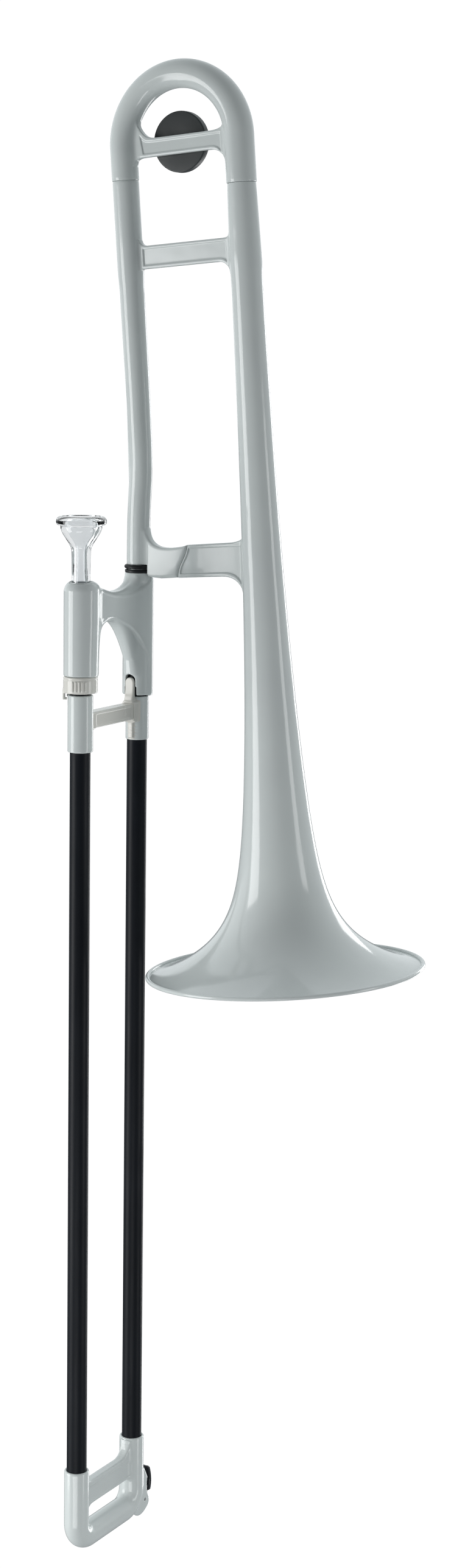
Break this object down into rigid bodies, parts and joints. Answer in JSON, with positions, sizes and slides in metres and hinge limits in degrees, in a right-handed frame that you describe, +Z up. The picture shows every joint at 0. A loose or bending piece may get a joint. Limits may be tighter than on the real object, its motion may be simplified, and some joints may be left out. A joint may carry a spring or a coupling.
{
  "type": "tenor slide trombone",
  "caption": "Plastic tenor slide trombone: hand slide on composite tubes, leaning bell section with tuning slide and counterweight, clear mouthpiece.",
  "frame": {"origin": "centre of the hand grip's cross bar, where the left hand holds the instrument, midway between the two slide tube axes", "axes": "+Z up the slide tubes towards the mouthpiece, +X towards the bell, +Y from the mouthpiece tube to the neck tube"},
  "size_m": [0.2552, 0.2032, 1.102],
  "materials": {
    "white_gloss": "glossy moulded ABS, cool white",
    "cream_gloss": "glossy moulded ABS, warm white",
    "black_tube": "satin black composite tube",
    "inner_tube": "polished dark composite tube",
    "black_rubber": "matte black rubber",
    "clear_plastic": "clear polished plastic",
    "black_plastic": "black moulded plastic",
    "charcoal_plastic": "matte charcoal plastic",
    "pad_cork": "pressed cork",
    "steel": "plain steel wire and pin"
  },
  "bodies": {
    "slide_grip": {"hand_grip": "white_gloss", "mouthpiece_receiver": "white_gloss", "neck_tenon": "white_gloss", "inner_tube_upper": "inner_tube", "inner_tube_lower": "inner_tube", "stocking_upper": "inner_tube", "stocking_lower": "inner_tube", "bumper_upper": "black_rubber", "bumper_lower": "black_rubber", "neck_washer": "black_rubber", "neck_o_ring": "black_rubber"},
    "slide_lock": {"lock_ring": "cream_gloss"},
    "mouthpiece": {"mouthpiece": "clear_plastic"},
    "outer_slide": {"slide_sleeve_upper": "white_gloss", "slide_sleeve_lower": "white_gloss", "outer_tube_upper": "black_tube", "outer_tube_lower": "black_tube", "slide_brace": "cream_gloss", "slide_brace_clamp": "cream_gloss", "slide_bow": "white_gloss", "slide_bow_brace": "white_gloss", "water_key_pin": "steel", "water_key_spring": "steel"},
    "water_key": {"water_key_lever": "black_plastic", "water_key_pad": "pad_cork"},
    "bell_section": {"neck": "white_gloss", "bell": "white_gloss", "bell_rim_bead": "white_gloss", "upper_brace": "white_gloss", "lower_brace_neck_half": "white_gloss", "lower_brace_bell_half": "white_gloss"},
    "tuning_slide": {"tuning_bow": "white_gloss", "tuning_leg_neck": "white_gloss", "tuning_leg_bell": "white_gloss", "tuning_brace": "white_gloss", "counterweight": "charcoal_plastic", "counterweight_cap": "charcoal_plastic", "counterweight_stud": "steel", "counterweight_nut": "charcoal_plastic"}
  },
  "joints": [
    {"name": "hand_slide", "type": "slide", "parent": "slide_grip", "child": "outer_slide", "axis": [0, 0, -1], "range_m": [0, 0.6]},
    {"name": "bell_swivel", "type": "hinge", "parent": "slide_grip", "child": "bell_section", "pos_m": [0, 0.0385, 0.0273], "axis": [0, 0, 1], "range_deg": [-25, 180]},
    {"name": "tuning_pull", "type": "slide", "parent": "bell_section", "child": "tuning_slide", "axis": [-0.0785, 0, 0.9969], "range_m": [0, 0.055]},
    {"name": "slide_lock_turn", "type": "hinge", "parent": "slide_grip", "child": "slide_lock", "pos_m": [0, -0.0385, -0.0535], "axis": [0, 0, -1], "range_deg": [0, 30]},
    {"name": "mouthpiece_pull", "type": "slide", "parent": "slide_grip", "child": "mouthpiece", "axis": [0, 0, 1], "range_m": [0, 0.05]},
    {"name": "water_key_press", "type": "hinge", "parent": "outer_slide", "child": "water_key", "pos_m": [0, 0.049, -0.7001], "axis": [1, 0, 0], "range_deg": [0, 10], "stiffness_Nm_per_rad": 0.05, "springref_deg": -28.65}
  ]
}
